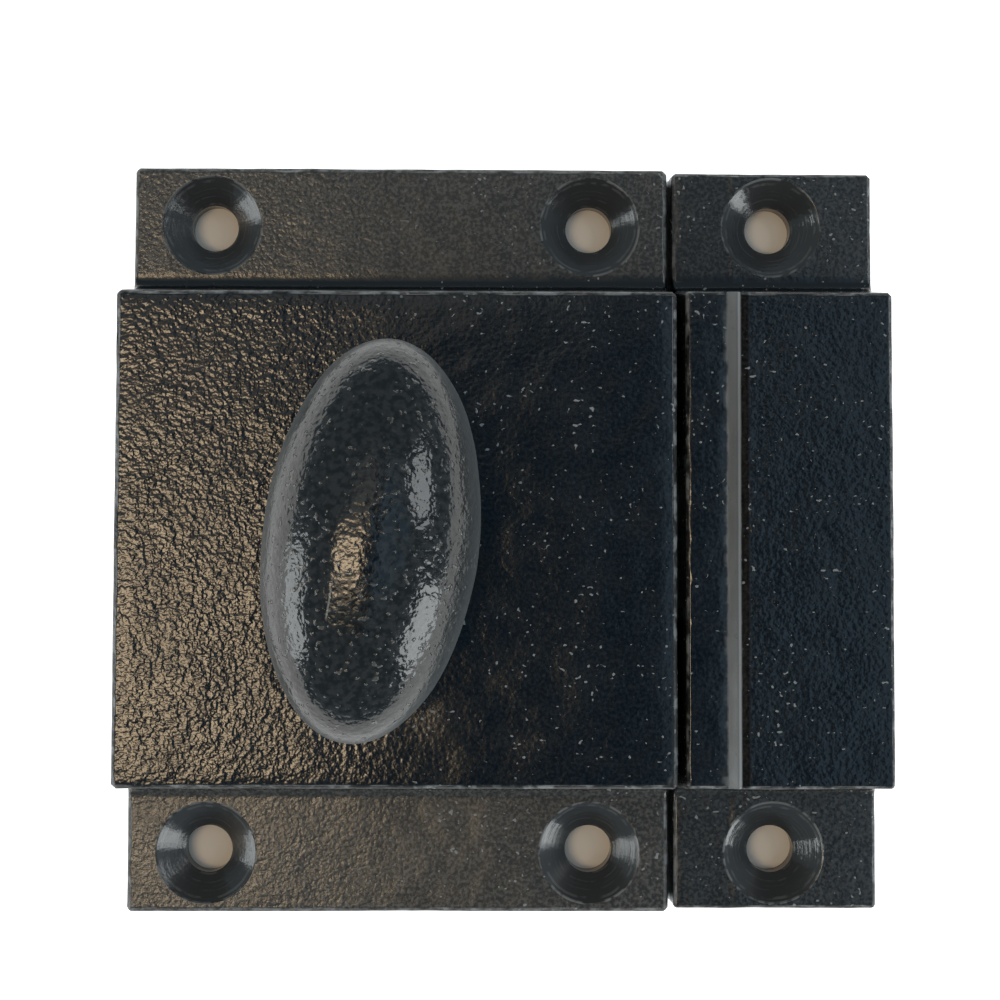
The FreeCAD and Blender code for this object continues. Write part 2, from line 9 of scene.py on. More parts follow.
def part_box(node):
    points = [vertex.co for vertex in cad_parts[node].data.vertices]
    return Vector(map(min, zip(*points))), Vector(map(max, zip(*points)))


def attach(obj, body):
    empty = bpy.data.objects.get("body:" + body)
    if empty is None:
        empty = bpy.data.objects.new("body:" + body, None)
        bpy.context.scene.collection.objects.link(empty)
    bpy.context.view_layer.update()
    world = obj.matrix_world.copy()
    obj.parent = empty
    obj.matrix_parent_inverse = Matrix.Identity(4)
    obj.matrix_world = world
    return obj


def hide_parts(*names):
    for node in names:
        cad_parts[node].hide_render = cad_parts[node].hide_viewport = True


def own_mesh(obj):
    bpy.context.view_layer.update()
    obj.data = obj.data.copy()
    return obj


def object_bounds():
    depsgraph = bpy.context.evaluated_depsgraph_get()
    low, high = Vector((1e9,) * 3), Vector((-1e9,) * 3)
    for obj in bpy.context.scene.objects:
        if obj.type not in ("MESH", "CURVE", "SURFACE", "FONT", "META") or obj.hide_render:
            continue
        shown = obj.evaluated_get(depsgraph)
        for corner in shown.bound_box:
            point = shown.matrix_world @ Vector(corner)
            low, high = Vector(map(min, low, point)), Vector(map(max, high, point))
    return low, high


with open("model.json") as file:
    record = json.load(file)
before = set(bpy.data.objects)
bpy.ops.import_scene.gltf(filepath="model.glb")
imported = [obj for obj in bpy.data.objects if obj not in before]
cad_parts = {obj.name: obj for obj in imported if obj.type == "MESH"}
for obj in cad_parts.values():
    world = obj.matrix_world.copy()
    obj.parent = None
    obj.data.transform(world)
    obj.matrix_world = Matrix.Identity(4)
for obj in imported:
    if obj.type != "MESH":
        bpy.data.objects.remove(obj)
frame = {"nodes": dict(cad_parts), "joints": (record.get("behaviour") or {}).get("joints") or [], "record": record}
cad_low, cad_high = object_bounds()
scene = bpy.context.scene
scene.view_settings.view_transform = "Standard"

MM = 0.001

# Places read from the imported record, in millimetres
mounts = {mount["name"]: mount for mount in frame["record"]["mounts"]}
joints = {joint["name"]: joint for joint in frame["joints"]}
screw_pattern = mounts["case_screws"]["dims"]
HOLE_RADIUS = screw_pattern["hole_r_mm"]
SCREW_X = screw_pattern["spacing_x_mm"] / 2
SCREW_Y = screw_pattern["spacing_y_mm"] / 2
KEEPER_MIDDLE = mounts["keeper_screws"]["pos_m"][0] / MM
CASE_SCREWS = [(x, y) for x in (-SCREW_X, SCREW_X) for y in (-SCREW_Y, SCREW_Y)]
KEEPER_SCREWS = [(KEEPER_MIDDLE, y) for y in (-SCREW_Y, SCREW_Y)]
SPINDLE_X = joints["knob_turn"]["pos_m"][0] / MM

# Countersinks, foot of the long walls, slope of the keeper's lip, in millimetres
SINK_RADIUS = 4.35
ROOT_Y = 23.0
ROOT_TOP = 5.2
RAMP_START = 27.8
RAMP_END = 28.8

# Chipped corners of the faces: x, y and reach in millimetres
CHIPPED = [(23.1, -20.3, 0.7), (28.6, -20.8, 1.0), (27.9, -19.6, 1.0), (28.3, 20.6, 0.7)]

# One straight scuff on the top of the knob
SCRATCH_START = Vector((-4.13, -3.4, 30.0))
SCRATCH_END = Vector((-4.58, -5.95, 30.0))

# Meshing and unevenness of the skins: each wave has a height and a length in millimetres
GRID = 0.5
MERGE = 0.03
FLAT_ANGLE = 0.4
CASTING_SHARP = 38
KNOB_SHARP = 40
WIRE_SHARP = 50
BACK_MARGIN = 0.02
RING_MARGIN = 0.05
HOLE_MARGIN = 0.05
SINK_MARGIN = 0.2
CAST_WAVES = [(0.04, 8.0), (0.03, 2.4), (0.016, 1.2)]
NIBBLE_DEPTH = 0.05
NIBBLE_WAVES = [(0.10, 1.5), (0.06, 4.0)]
DUBBED_WIDTH = 1.4
KNOB_WAVES = [(0.16, 8.5), (0.03, 2.6), (0.012, 1.3)]
KNOB_SINK = 0.03
KNOB_SEED = 21
NECK_RADIUS = 3.2
NECK_LENGTH = 2.6

# Distances over which a casting's skin becomes free to move, in millimetres
FROM_SPINDLE = (5.6, 7.0)
FROM_BACK = (0.0, 0.8)
FROM_HOLE = (HOLE_RADIUS, HOLE_RADIUS + 1.2)
FROM_RIM = (0.1, 0.8)

# Depths below a casting's top over which its face begins, in millimetres
FACE_DEPTH = 1.0
CHIP_DEPTHS = (2.0, 1.0)
SHINE_DEPTHS = (2.0, 0.9)
DUBBED_DEPTHS = (3.0, 0.9)

# Leans of the surface that make it an edge or a wall, and the shine of the walls' paint
EDGE_LEANS = (0.08, 0.45)
WALL_LEANS = (0.3, 0.7)
WALL_SHINE = 0.85

# Hidden zones of each casting, in millimetres: lowest corner, highest corner
CASE_HIDDEN = [
    ((-20.6, -17.8, -1.0), (20.6, 17.8, 10.1)),
    ((-21.7, -18.9, -1.0), (21.7, 18.9, 2.05)),
    ((19.0, -6.3, 1.9), (24.0, 6.3, 7.5)),
]
KEEPER_HIDDEN = [
    ((27.3, -17.8, -1.0), (38.7, 17.8, 10.1)),
    ((23.0, -7.3, -1.0), (27.5, 7.3, 8.0)),
]

# Depth of paint relief and of tool marks, in metres
PAINT_RELIEF = 0.00006
METAL_RELIEF = 0.00002

# Spring wire
COIL_TURNS = 5.5
COIL_STEPS = 40
WIRE_SIDES = 12
WIRE_RADIUS = 0.3


def smooth_step(low, high, value):
    share = min(1.0, max(0.0, (value - low) / (high - low)))
    return share * share * (3.0 - 2.0 * share)


def nearest(places, point):
    return min(math.hypot(point.x - x, point.y - y) for x, y in places)


def in_zone(zones, point):
    for low, high in zones:
        if all(low[axis] < point[axis] < high[axis] for axis in range(3)):
            return True
    return False


def waves(point, seed, layers):
    # Sum of smooth noises whose bumps are about one length apart
    total = 0.0
    for index, (height, length) in enumerate(layers):
        shift = seed + index
        total += height * noise.noise(point / length + Vector((shift, 2.3 * shift, -shift)))
    return total


# Dense skins over the castings and the knob
def read_skin(node):
    skin = bmesh.new()
    skin.from_mesh(frame["nodes"][node].data)
    bmesh.ops.remove_doubles(skin, verts=skin.verts, dist=1e-6)
    return skin


def grid_cut(skin, step):
    # Cuts all faces along evenly spaced planes, so that the flats carry fine relief
    for axis in range(3):
        spots = [vert.co[axis] for vert in skin.verts]
        low = min(spots)
        high = max(spots)
        count = int((high - low) / (step * MM))
        across = Vector([float(axis == other) for other in range(3)])
        for index in range(1, count):
            place = across * (low + (high - low) * index / count)
            everything = skin.verts[:] + skin.edges[:] + skin.faces[:]
            bmesh.ops.bisect_plane(skin, geom=everything, dist=1e-7, plane_co=place, plane_no=across)
    bmesh.ops.remove_doubles(skin, verts=skin.verts, dist=MERGE * MM)
    bmesh.ops.triangulate(skin, faces=skin.faces)


def mark_sharp(skin, angle):
    for face in skin.faces:
        face.smooth = True
    for edge in skin.edges:
        edge.smooth = edge.calc_face_angle(0.0) < math.radians(angle)


def place_piece(name, skin, node, body, material):
    mesh = bpy.data.meshes.new(name)
    skin.to_mesh(mesh)
    skin.free()
    piece = bpy.data.objects.new(name, mesh)
    scene.collection.objects.link(piece)
    mesh.materials.append(material)
    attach(piece, body)
    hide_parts(node)
    return piece


def reaches_face(depths, top, point):
    # Rises from 0 to 1 between two depths below the top
    return smooth_step(top - depths[0], top - depths[1], point.z)


def chip_share(point, top):
    # How far inside a chipped corner of the face, from 0 to 1
    share = 0.0
    for x, y, reach in CHIPPED:
        share = max(share, 1.0 - smooth_step(0.3 * reach, reach, math.hypot(point.x - x, point.y - y)))
    return share * reaches_face(CHIP_DEPTHS, top, point)


def cast_skin(node, screws, hidden, seed, dub, flange_shine):
    # Even mesh with sand-cast unevenness, nibbled edges and the layers that its paint reads
    skin = read_skin(node)
    flat_angle = math.radians(FLAT_ANGLE)
    bmesh.ops.dissolve_limit(skin, angle_limit=flat_angle, verts=skin.verts, edges=skin.edges)
    grid_cut(skin, GRID)
    mark_sharp(skin, CASTING_SHARP)
    skin.normal_update()
    wear_layer = skin.verts.layers.float.new("wear")
    ring_layer = skin.verts.layers.float.new("ring")
    face_layer = skin.verts.layers.float.new("face")
    top = max(vert.co.z for vert in skin.verts) / MM
    upper = [vert.co / MM for vert in skin.verts if vert.co.z / MM > top - FACE_DEPTH]
    face_x = (min(point.x for point in upper), max(point.x for point in upper))
    face_y = (min(point.y for point in upper), max(point.y for point in upper))
    for vert in skin.verts:
        point = vert.co / MM
        from_screw = nearest(screws, point)
        outer = point.z >= BACK_MARGIN and from_screw > HOLE_RADIUS + HOLE_MARGIN
        outer = outer and not in_zone(hidden, point)
        in_root = point.z < ROOT_TOP and abs(point.y) < ROOT_Y
        leans = sorted(abs(part) for part in vert.normal)
        corner = smooth_step(*EDGE_LEANS, leans[1])
        if in_root or from_screw < SINK_RADIUS + SINK_MARGIN or not outer:
            corner = 0.0
        upright = WALL_SHINE * (1.0 - smooth_step(*WALL_LEANS, abs(vert.normal.z)))
        vert[wear_layer] = max(corner, chip_share(point, top))
        vert[ring_layer] = from_screw if point.z > RING_MARGIN else 2.0 * SINK_RADIUS
        vert[face_layer] = max(flange_shine, upright, reaches_face(SHINE_DEPTHS, top, point))
        if not outer:
            continue
        from_spindle = math.hypot(point.x - SPINDLE_X, point.y)
        free = smooth_step(*FROM_SPINDLE, from_spindle) * smooth_step(*FROM_BACK, point.z)
        free *= smooth_step(*FROM_HOLE, from_screw)
        free *= smooth_step(*FROM_RIM, abs(from_screw - SINK_RADIUS))
        uneven = waves(point, seed, CAST_WAVES)
        nibble = corner * (NIBBLE_DEPTH + waves(point, seed + len(CAST_WAVES), NIBBLE_WAVES))
        from_edge = min(point.x - face_x[0], face_x[1] - point.x, point.y - face_y[0], face_y[1] - point.y)
        dubbed = dub * (1.0 - smooth_step(0.0, DUBBED_WIDTH, from_edge))
        dubbed *= reaches_face(DUBBED_DEPTHS, top, point)
        move = vert.normal * (free * (uneven - max(0.0, nibble))) - Vector((0, 0, dubbed))
        vert.co += move * MM
    return skin


def knob_skin():
    # The knob's own mesh with slight lumps, and a layer for its steep sides
    skin = read_skin("knob")
    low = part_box("knob")[0].z / MM
    neck_top = low + NECK_LENGTH
    mark_sharp(skin, KNOB_SHARP)
    skin.normal_update()
    flank_layer = skin.verts.layers.float.new("flank_sheen")
    for vert in skin.verts:
        point = vert.co / MM
        from_axis = math.hypot(point.x - SPINDLE_X, point.y)
        if from_axis <= NECK_RADIUS or point.z <= low + BACK_MARGIN:
            continue
        vert[flank_layer] = 1.0 - smooth_step(0.1, 0.75, vert.normal.z)
        free = smooth_step(neck_top - 1.5, neck_top + 2.0, point.z)
        lumps = waves(point, KNOB_SEED, KNOB_WAVES) - KNOB_SINK
        vert.co += vert.normal * (free * lumps * MM)
    return skin


# Node helpers
def feed(tree, socket, value):
    if isinstance(value, bpy.types.NodeSocket):
        tree.links.new(value, socket)
    else:
        socket.default_value = value


def join(tree, made, **inputs):
    for key, value in inputs.items():
        feed(tree, made.inputs[key.replace("_", " ")], value)


def add_node(tree, kind, settings=None, numbered=(), **inputs):
    made = tree.nodes.new(kind)
    for key, value in (settings or {}).items():
        setattr(made, key, value)
    for socket, value in zip(made.inputs, numbered):
        feed(tree, socket, value)
    join(tree, made, **inputs)
    return made


def calculate(tree, operation, *values):
    return add_node(tree, "ShaderNodeMath", {"operation": operation}, values).outputs[0]


def chain(tree, operation, values):
    result = values[0]
    for value in values[1:]:
        result = calculate(tree, operation, result, value)
    return result


def product(tree, *values):
    return chain(tree, "MULTIPLY", values)


def largest(tree, *values):
    return chain(tree, "MAXIMUM", values)


def scaled_sum(tree, value, factor, added):
    return calculate(tree, "MULTIPLY_ADD", value, factor, added)


def blend(tree, share, first, second):
    # A value that goes from the first to the second as the share rises
    return scaled_sum(tree, share, calculate(tree, "SUBTRACT", second, first), first)


def distance(tree, value, place):
    return calculate(tree, "ABSOLUTE", calculate(tree, "SUBTRACT", value, place))


def spread(tree, value, low, high, to_low, to_high):
    made = add_node(tree, "ShaderNodeMapRange", {"interpolation_type": "SMOOTHSTEP"},
                    (value, low, high, to_low, to_high))
    return made.outputs[0]


def rising(tree, value, low, high, unit=1.0):
    return spread(tree, value, low * unit, high * unit, 0.0, 1.0)


def falling(tree, value, low, high, unit=1.0):
    return spread(tree, value, low * unit, high * unit, 1.0, 0.0)


def vector_maths(tree, operation, first, second, output):
    made = add_node(tree, "ShaderNodeVectorMath", {"operation": operation}, (first, second))
    return made.outputs[output]


def split_place(tree, place):
    return add_node(tree, "ShaderNodeSeparateXYZ", Vector=place).outputs


def mix_colours(tree, share, first, second):
    made = add_node(tree, "ShaderNodeMix", {"data_type": "RGBA"})
    for index, value in ((0, share), (6, first), (7, second)):
        feed(tree, made.inputs[index], value)
    return made.outputs[2]


def paint_over(tree, colour, coats):
    # Lays each coat's colour over those before, as far as its share says
    for share, shade in coats:
        colour = mix_colours(tree, share, colour, shade)
    return colour


def new_material(name):
    material = bpy.data.materials.new(name)
    material.use_nodes = True
    tree = material.node_tree
    tree.nodes.clear()
    shader = add_node(tree, "ShaderNodeBsdfPrincipled")
    add_node(tree, "ShaderNodeOutputMaterial", Surface=shader.outputs[0])
    place = add_node(tree, "ShaderNodeTexCoord").outputs["Object"]
    return material, tree, shader, place


def grain(tree, place, scale, detail, roughness=0.5):
    # Noise with that many bumps to the metre
    made = add_node(tree, "ShaderNodeTexNoise", Vector=place, Scale=scale, Detail=detail,
                    Roughness=roughness)
    return made.outputs[0]


def attribute(tree, name):
    return add_node(tree, "ShaderNodeAttribute", {"attribute_name": name}).outputs["Fac"]


def relief(tree, height, depth):
    return add_node(tree, "ShaderNodeBump", Strength=1.0, Distance=depth, Height=height).outputs[0]


# Paint on the two castings
def casting_grains(tree, place):
    return SimpleNamespace(
        peel=grain(tree, place, 2650.0, 0.8),
        sand=grain(tree, place, 3300.0, 2.0, 0.6),
        swell=grain(tree, place, 900.0, 2.0),
        patches=grain(tree, place, 230.0, 3.0, 0.6),
        chips=grain(tree, place, 800.0, 2.0, 0.6),
        dots=grain(tree, place, 2900.0, 0.0),
    )


def turned_marks(tree, ring, patches):
    # Uneven rings left in the countersinks by the tool
    wavy_ring = scaled_sum(tree, patches, 0.5, ring)
    made = add_node(tree, "ShaderNodeTexNoise", {"noise_dimensions": "1D"},
                    W=wavy_ring, Scale=3.2, Detail=2.0)
    return made.outputs[0]


def lip_marks(tree, across, on_top, chips):
    # Slope of the keeper's lip painted lighter, as rubbed paint and as a painted highlight, a painted highlight
    # line on the crest at its end, a ragged lighter line along the lip's left edge that is worn paint and a
    # painted highlight, and the edges beside it
    ragged = scaled_sum(tree, chips, 0.5 * MM, across)
    # Painted highlight on the lip's slope, which is also rubbed paint
    lit_band = product(
        tree,
        rising(tree, ragged, RAMP_START + 0.05, RAMP_START + 0.3, MM),
        falling(tree, across, RAMP_END - 0.1, RAMP_END + 0.1, MM),
        on_top,
    )
    from_end = distance(tree, across, (RAMP_END - 0.1) * MM)
    from_lip = distance(tree, across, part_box("keeper")[0].x + 0.2 * MM)
    from_foot = distance(tree, across, (RAMP_END + 0.2) * MM)
    edge = product(tree, falling(tree, from_lip, 0.2, 0.5, MM), on_top)
    return SimpleNamespace(
        lit_band=lit_band,
        crest_highlight=product(tree, lit_band, falling(tree, from_end, 0.05, 0.15, MM)),
        edge=edge,
        worn_and_highlit=product(tree, edge, spread(tree, chips, 0.42, 0.62, 0.0, 0.8)),
        foot=product(tree, falling(tree, from_foot, 0.3, 0.7, MM), on_top),
    )


def casting_marks(tree, place, grains):
    # Where the paint differs over a casting, and where shade and highlights are painted on it, each mark from 0 to
    # 1
    across, upward, outward = split_place(tree, place)
    wear = attribute(tree, "wear")
    ring = attribute(tree, "ring")
    face = attribute(tree, "face")
    in_sink = falling(tree, ring, SINK_RADIUS - 0.1, SINK_RADIUS + 0.1)
    # Painted shade: a near-black band in the fillet at the foot of the long walls, which also softens the relief
    # there
    root = product(
        tree,
        falling(tree, upward, ROOT_Y - 0.5, ROOT_Y + 0.4, MM),
        rising(tree, upward, ROOT_Y - 2.6, ROOT_Y - 2.0, MM),
        rising(tree, outward, 1.0, 2.0, MM),
        falling(tree, outward, ROOT_TOP - 0.5, ROOT_TOP, MM),
    )
    # Sparse raised pimples, mostly on the right of the case, whose pale colour is a painted glint
    glint_pimple = product(
        tree,
        rising(tree, scaled_sum(tree, grains.patches, 0.4, grains.dots), 0.985, 1.03),
        falling(tree, in_sink, 0.0, 1.0),
        spread(tree, across, -5.0 * MM, 6.0 * MM, 0.2, 1.0),
    )
    rim = product(
        tree,
        spread(tree, distance(tree, ring, SINK_RADIUS), 0.04, 0.14, 0.8, 0.0),
        rising(tree, grains.swell, 0.42, 0.6),
    )
    lip = lip_marks(tree, across, rising(tree, face, 0.85, 0.98), grains.chips)
    worn_edge = product(tree, wear, rising(tree, grains.chips, 0.45, 0.66))
    return SimpleNamespace(
        across=across,
        wear=wear,
        ring=ring,
        face=face,
        in_sink=in_sink,
        root=root,
        glint_pimple=glint_pimple,
        turned=product(tree, turned_marks(tree, ring, grains.patches), in_sink),
        # Worn paint on edges and sink rims, together with the painted highlights on the keeper's lip
        rubbed_and_highlit=largest(tree, worn_edge, rim, lip.lit_band, lip.worn_and_highlit),
        crest_highlight=lip.crest_highlight,
        flat_paint=largest(tree, lip.foot, lip.edge),
    )


def casting_height(tree, grains, marks):
    # Coarse to the left, fine on the right of the case, middling on the keeper
    across = marks.across
    on_case = spread(tree, across, -12.0 * MM, 5.0 * MM, 1.25, 0.3)
    on_keeper = spread(tree, across, RAMP_END * MM, (RAMP_END + 0.6) * MM, 0.0, 0.5)
    strength = product(
        tree,
        calculate(tree, "ADD", on_case, on_keeper),
        spread(tree, marks.in_sink, 0.0, 1.0, 1.0, 0.25),
        spread(tree, marks.root, 0.0, 1.0, 1.0, 0.4),
    )
    grit = product(tree, grains.sand, 1.5)
    skin_grain = blend(tree, marks.face, grit, grains.peel)
    height = product(tree, scaled_sum(tree, grains.swell, 0.7, skin_grain), strength)
    height = scaled_sum(tree, marks.glint_pimple, 0.7, height)
    height = scaled_sum(tree, marks.turned, 0.2, height)
    return scaled_sum(tree, calculate(tree, "MINIMUM", marks.ring, SINK_RADIUS), -2.8, height)


def casting_colour(tree, grains, marks):
    speck = rising(tree, grains.sand, 0.38, 0.68)
    on_face = mix_colours(tree, speck, (0.001, 0.0013, 0.0018, 1), (0.009, 0.0105, 0.012, 1))
    on_flange = mix_colours(tree, speck, (0.042, 0.041, 0.039, 1), (0.138, 0.13, 0.118, 1))
    # Painted reflection: lighter streaks along the turned rings in the countersinks, standing in for their streaky
    # sheen
    streak_sheen = product(
        tree,
        spread(tree, marks.turned, 0.5, 0.7, 0.0, 0.5),
        rising(tree, grains.swell, 0.42, 0.6),
    )
    return paint_over(tree, mix_colours(tree, marks.face, on_flange, on_face), [
        # painted shade: near-black in the fillet at the foot of the long walls
        (marks.root, (0.002, 0.003, 0.004, 1)),
        # painted glints: pale dots on the raised pimples
        (marks.glint_pimple, (0.17, 0.18, 0.19, 1)),
        # painted reflection: the countersinks' paint made lighter grey to stand in for the light they reflect
        (marks.in_sink, (0.03, 0.032, 0.034, 1)),
        # painted sheen: light streaks on the countersinks' turned rings
        (streak_sheen, (0.1, 0.104, 0.104, 1)),
        # worn paint on edges and sink rims, and the painted highlight of the keeper's lip band and left edge
        (marks.rubbed_and_highlit, (0.13, 0.137, 0.142, 1)),
        # painted highlight: a bright line on the crest at the end of the lip's slope
        (marks.crest_highlight, (0.26, 0.28, 0.31, 1)),
    ])


def casting_gloss(tree, grains, marks):
    shine = spread(tree, grains.patches, 0.3, 0.7, 0.12, 0.18)
    satin = spread(tree, grains.patches, 0.3, 0.7, 0.3, 0.38)
    gloss = scaled_sum(tree, marks.in_sink, -0.04, blend(tree, marks.face, satin, shine))
    dulled = largest(tree, marks.wear, marks.glint_pimple, marks.rubbed_and_highlit, marks.flat_paint)
    return scaled_sum(tree, dulled, 0.3, gloss)


def casting_paint():
    material, tree, shader, place = new_material("black_paint_on_casting")
    grains = casting_grains(tree, place)
    marks = casting_marks(tree, place, grains)
    join(
        tree,
        shader,
        Base_Color=casting_colour(tree, grains, marks),
        Roughness=casting_gloss(tree, grains, marks),
        Normal=relief(tree, casting_height(tree, grains, marks), PAINT_RELIEF),
        Specular_IOR_Level=spread(tree, marks.flat_paint, 0.0, 1.0, 0.5, 0.06),
    )
    return material


# Paint on the knob
def scratch(tree, place):
    along = (SCRATCH_END - SCRATCH_START).normalized()
    reach = (SCRATCH_END - SCRATCH_START).length
    from_start = vector_maths(tree, "SUBTRACT", place, SCRATCH_START * MM, "Vector")
    run = vector_maths(tree, "DOT_PRODUCT", from_start, along, "Value")
    aside = vector_maths(tree, "DOT_PRODUCT", from_start, Vector((-along.y, along.x, 0)), "Value")
    rise = split_place(tree, from_start)["Z"]
    return product(
        tree,
        falling(tree, calculate(tree, "ABSOLUTE", aside), 0.03, 0.1, MM),
        rising(tree, run, 0.0, 0.2, MM),
        falling(tree, run, reach - 0.4, reach, MM),
        rising(tree, rise, -4.0, -3.0, MM),
    )


def knob_paint():
    material, tree, shader, place = new_material("black_paint_on_knob")
    peel = grain(tree, place, 2000.0, 1.5)
    swell = grain(tree, place, 700.0, 2.0, 0.6)
    patches = grain(tree, place, 210.0, 3.0, 0.6)
    dots = scaled_sum(tree, patches, 0.4, grain(tree, place, 1800.0, 1.0))
    glint_pimple = rising(tree, dots, 0.84, 0.94)
    flank_sheen = attribute(tree, "flank_sheen")
    height = scaled_sum(tree, glint_pimple, 0.8, scaled_sum(tree, swell, 0.8, peel))
    speck = rising(tree, peel, 0.35, 0.65)
    ground = mix_colours(tree, speck, (0.002, 0.0024, 0.0028, 1), (0.016, 0.017, 0.0175, 1))
    colour = paint_over(tree, ground, [
        # painted glints: pale flecks on the knob's raised pimples
        (glint_pimple, (0.06, 0.059, 0.055, 1)),
        # painted sheen: the knob's steep sides made lighter grey, standing in for the soft grey light they reflect
        (flank_sheen, (0.045, 0.051, 0.053, 1)),
        (scratch(tree, place), (0.16, 0.16, 0.15, 1)),
    ])
    gloss = scaled_sum(tree, flank_sheen, 0.35, spread(tree, patches, 0.3, 0.7, 0.1, 0.15))
    join(tree, shader, Base_Color=colour, Roughness=gloss, Normal=relief(tree, height, PAINT_RELIEF))
    return material


def bare_metal(name, dark, light, stretch, scale, gloss_low, gloss_high):
    # Bare iron or steel with marks drawn out along one direction
    material, tree, shader, place = new_material(name)
    drawn = add_node(tree, "ShaderNodeMapping", Vector=place, Scale=stretch).outputs[0]
    marks = grain(tree, drawn, scale, 4.0, 0.6)
    stains = grain(tree, place, 320.0, 3.0, 0.6)
    join(
        tree,
        shader,
        Base_Color=mix_colours(tree, rising(tree, stains, 0.35, 0.65), dark, light),
        Metallic=1.0,
        Roughness=spread(tree, marks, 0.3, 0.7, gloss_low, gloss_high),
        Normal=relief(tree, marks, METAL_RELIEF),
    )
    return material


# Castings and knob
painted = casting_paint()
case_mesh = cast_skin("latch_case", CASE_SCREWS, CASE_HIDDEN, seed=3, dub=0.06, flange_shine=0.55)
keeper_mesh = cast_skin("keeper", KEEPER_SCREWS, KEEPER_HIDDEN, seed=11, dub=0.01, flange_shine=0.78)
place_piece("latch_case_skin", case_mesh, "latch_case", "case", painted)
place_piece("keeper_skin", keeper_mesh, "keeper", "case", painted)
place_piece("knob_skin", knob_skin(), "knob", "knob_set", knob_paint())


# Spring, wound at one fixed length inside the packed coil's box; the bolt's travel squeezes the real one
def coil_mesh(turns, per_turn, sides):
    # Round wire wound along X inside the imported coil's box
    low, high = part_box("bolt_spring")
    wire = WIRE_RADIUS * MM
    radius = (high.y - low.y) / 2 - wire
    centre = (low + high) / 2
    start = low.x + wire
    length = high.x - low.x - 2 * wire
    steps = int(turns * per_turn)
    lean = length / (2 * math.pi * radius * turns)
    skin = bmesh.new()
    rings = []
    for step in range(steps + 1):
        angle = 2 * math.pi * turns * step / steps
        outward = Vector((0, math.cos(angle), math.sin(angle)))
        along = Vector((lean, -math.sin(angle), math.cos(angle))).normalized()
        sideways = along.cross(outward)
        middle = Vector((start + length * step / steps, centre.y, centre.z)) + outward * radius
        ring = []
        for side in range(sides):
            turn = 2 * math.pi * side / sides
            around = outward * math.cos(turn) + sideways * math.sin(turn)
            ring.append(skin.verts.new(middle + wire * around))
        rings.append(ring)
    for one, other in zip(rings, rings[1:]):
        for side in range(sides):
            after = (side + 1) % sides
            skin.faces.new((one[side], one[after], other[after], other[side]))
    skin.faces.new(reversed(rings[0]))
    skin.faces.new(rings[-1])
    bmesh.ops.recalc_face_normals(skin, faces=skin.faces)
    mark_sharp(skin, WIRE_SHARP)
    return skin


spring_wire = bare_metal("spring_wire", (0.2, 0.2, 0.21, 1), (0.32, 0.32, 0.33, 1), (1, 1, 1),
                         2400.0, 0.25, 0.4)
coil_piece = place_piece("coil_spring_wire", coil_mesh(COIL_TURNS, COIL_STEPS, WIRE_SIDES),
                         "bolt_spring", "case", spring_wire)
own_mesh(coil_piece)

# Finishes of the works that keep their packed form
FINISHES = {
    "latch_bolt": bare_metal("bolt_iron", (0.045, 0.043, 0.041, 1), (0.09, 0.086, 0.08, 1),
                             (0.08, 1, 1), 2200.0, 0.38, 0.6),
    "spindle": bare_metal("turned_steel", (0.26, 0.25, 0.24, 1), (0.36, 0.35, 0.34, 1),
                          (0.3, 0.3, 1), 2600.0, 0.3, 0.5),
    "cam_follower": bare_metal("filed_steel", (0.24, 0.235, 0.225, 1), (0.34, 0.33, 0.32, 1),
                               (1, 0.12, 1), 2400.0, 0.35, 0.55),
    "back_plate": bare_metal("mill_sheet", (0.12, 0.12, 0.124, 1), (0.15, 0.15, 0.154, 1),
                             (1, 0.06, 1), 1500.0, 0.4, 0.6),
    "plate_rivets": bare_metal("headed_steel", (0.22, 0.215, 0.21, 1), (0.36, 0.35, 0.34, 1),
                               (1, 1, 1), 1800.0, 0.35, 0.6),
}
for name, material in FINISHES.items():
    cad_mesh = frame["nodes"][name].data
    cad_mesh.materials.clear()
    cad_mesh.materials.append(material)

# Floor, seen only from above, and left open beneath the part so that its back is lit
FLOOR_HALF = 1.5
FLOOR_DROP = 0.05
OPEN_MARGIN = 0.5
MOUTH_HALF = 9.0
MOUTH_SHIFT = 0.8
STRIP_HALF = 0.9
MOUTH_WIDER = 1.1
DISC_MARGIN = 0.06


def open_floor(tree, x, y, beside):
    # All beneath the part but a strip under the gap and a disc under each screw hole
    aside = calculate(tree, "ABSOLUTE", y)
    spot = add_node(tree, "ShaderNodeCombineXYZ", X=x, Y=aside).outputs[0]
    gap_middle = (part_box("latch_case")[1].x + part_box("keeper")[0].x) / 2
    by_mouth = calculate(tree, "LESS_THAN", aside, MOUTH_HALF * MM)
    from_strip = distance(tree, x, scaled_sum(tree, by_mouth, MOUTH_SHIFT * MM, gap_middle))
    strip_half = scaled_sum(tree, by_mouth, MOUTH_WIDER * MM, STRIP_HALF * MM)
    opening = product(
        tree,
        calculate(tree, "GREATER_THAN", from_strip, strip_half),
        calculate(tree, "LESS_THAN", beside, -OPEN_MARGIN * MM),
    )
    for screw_x in (-SCREW_X, SCREW_X, KEEPER_MIDDLE):
        hole = Vector((screw_x, SCREW_Y, 0)) * MM
        from_hole = vector_maths(tree, "DISTANCE", spot, hole, "Value")
        outside = calculate(tree, "GREATER_THAN", from_hole, (HOLE_RADIUS + DISC_MARGIN) * MM)
        opening = product(tree, opening, outside)
    return opening


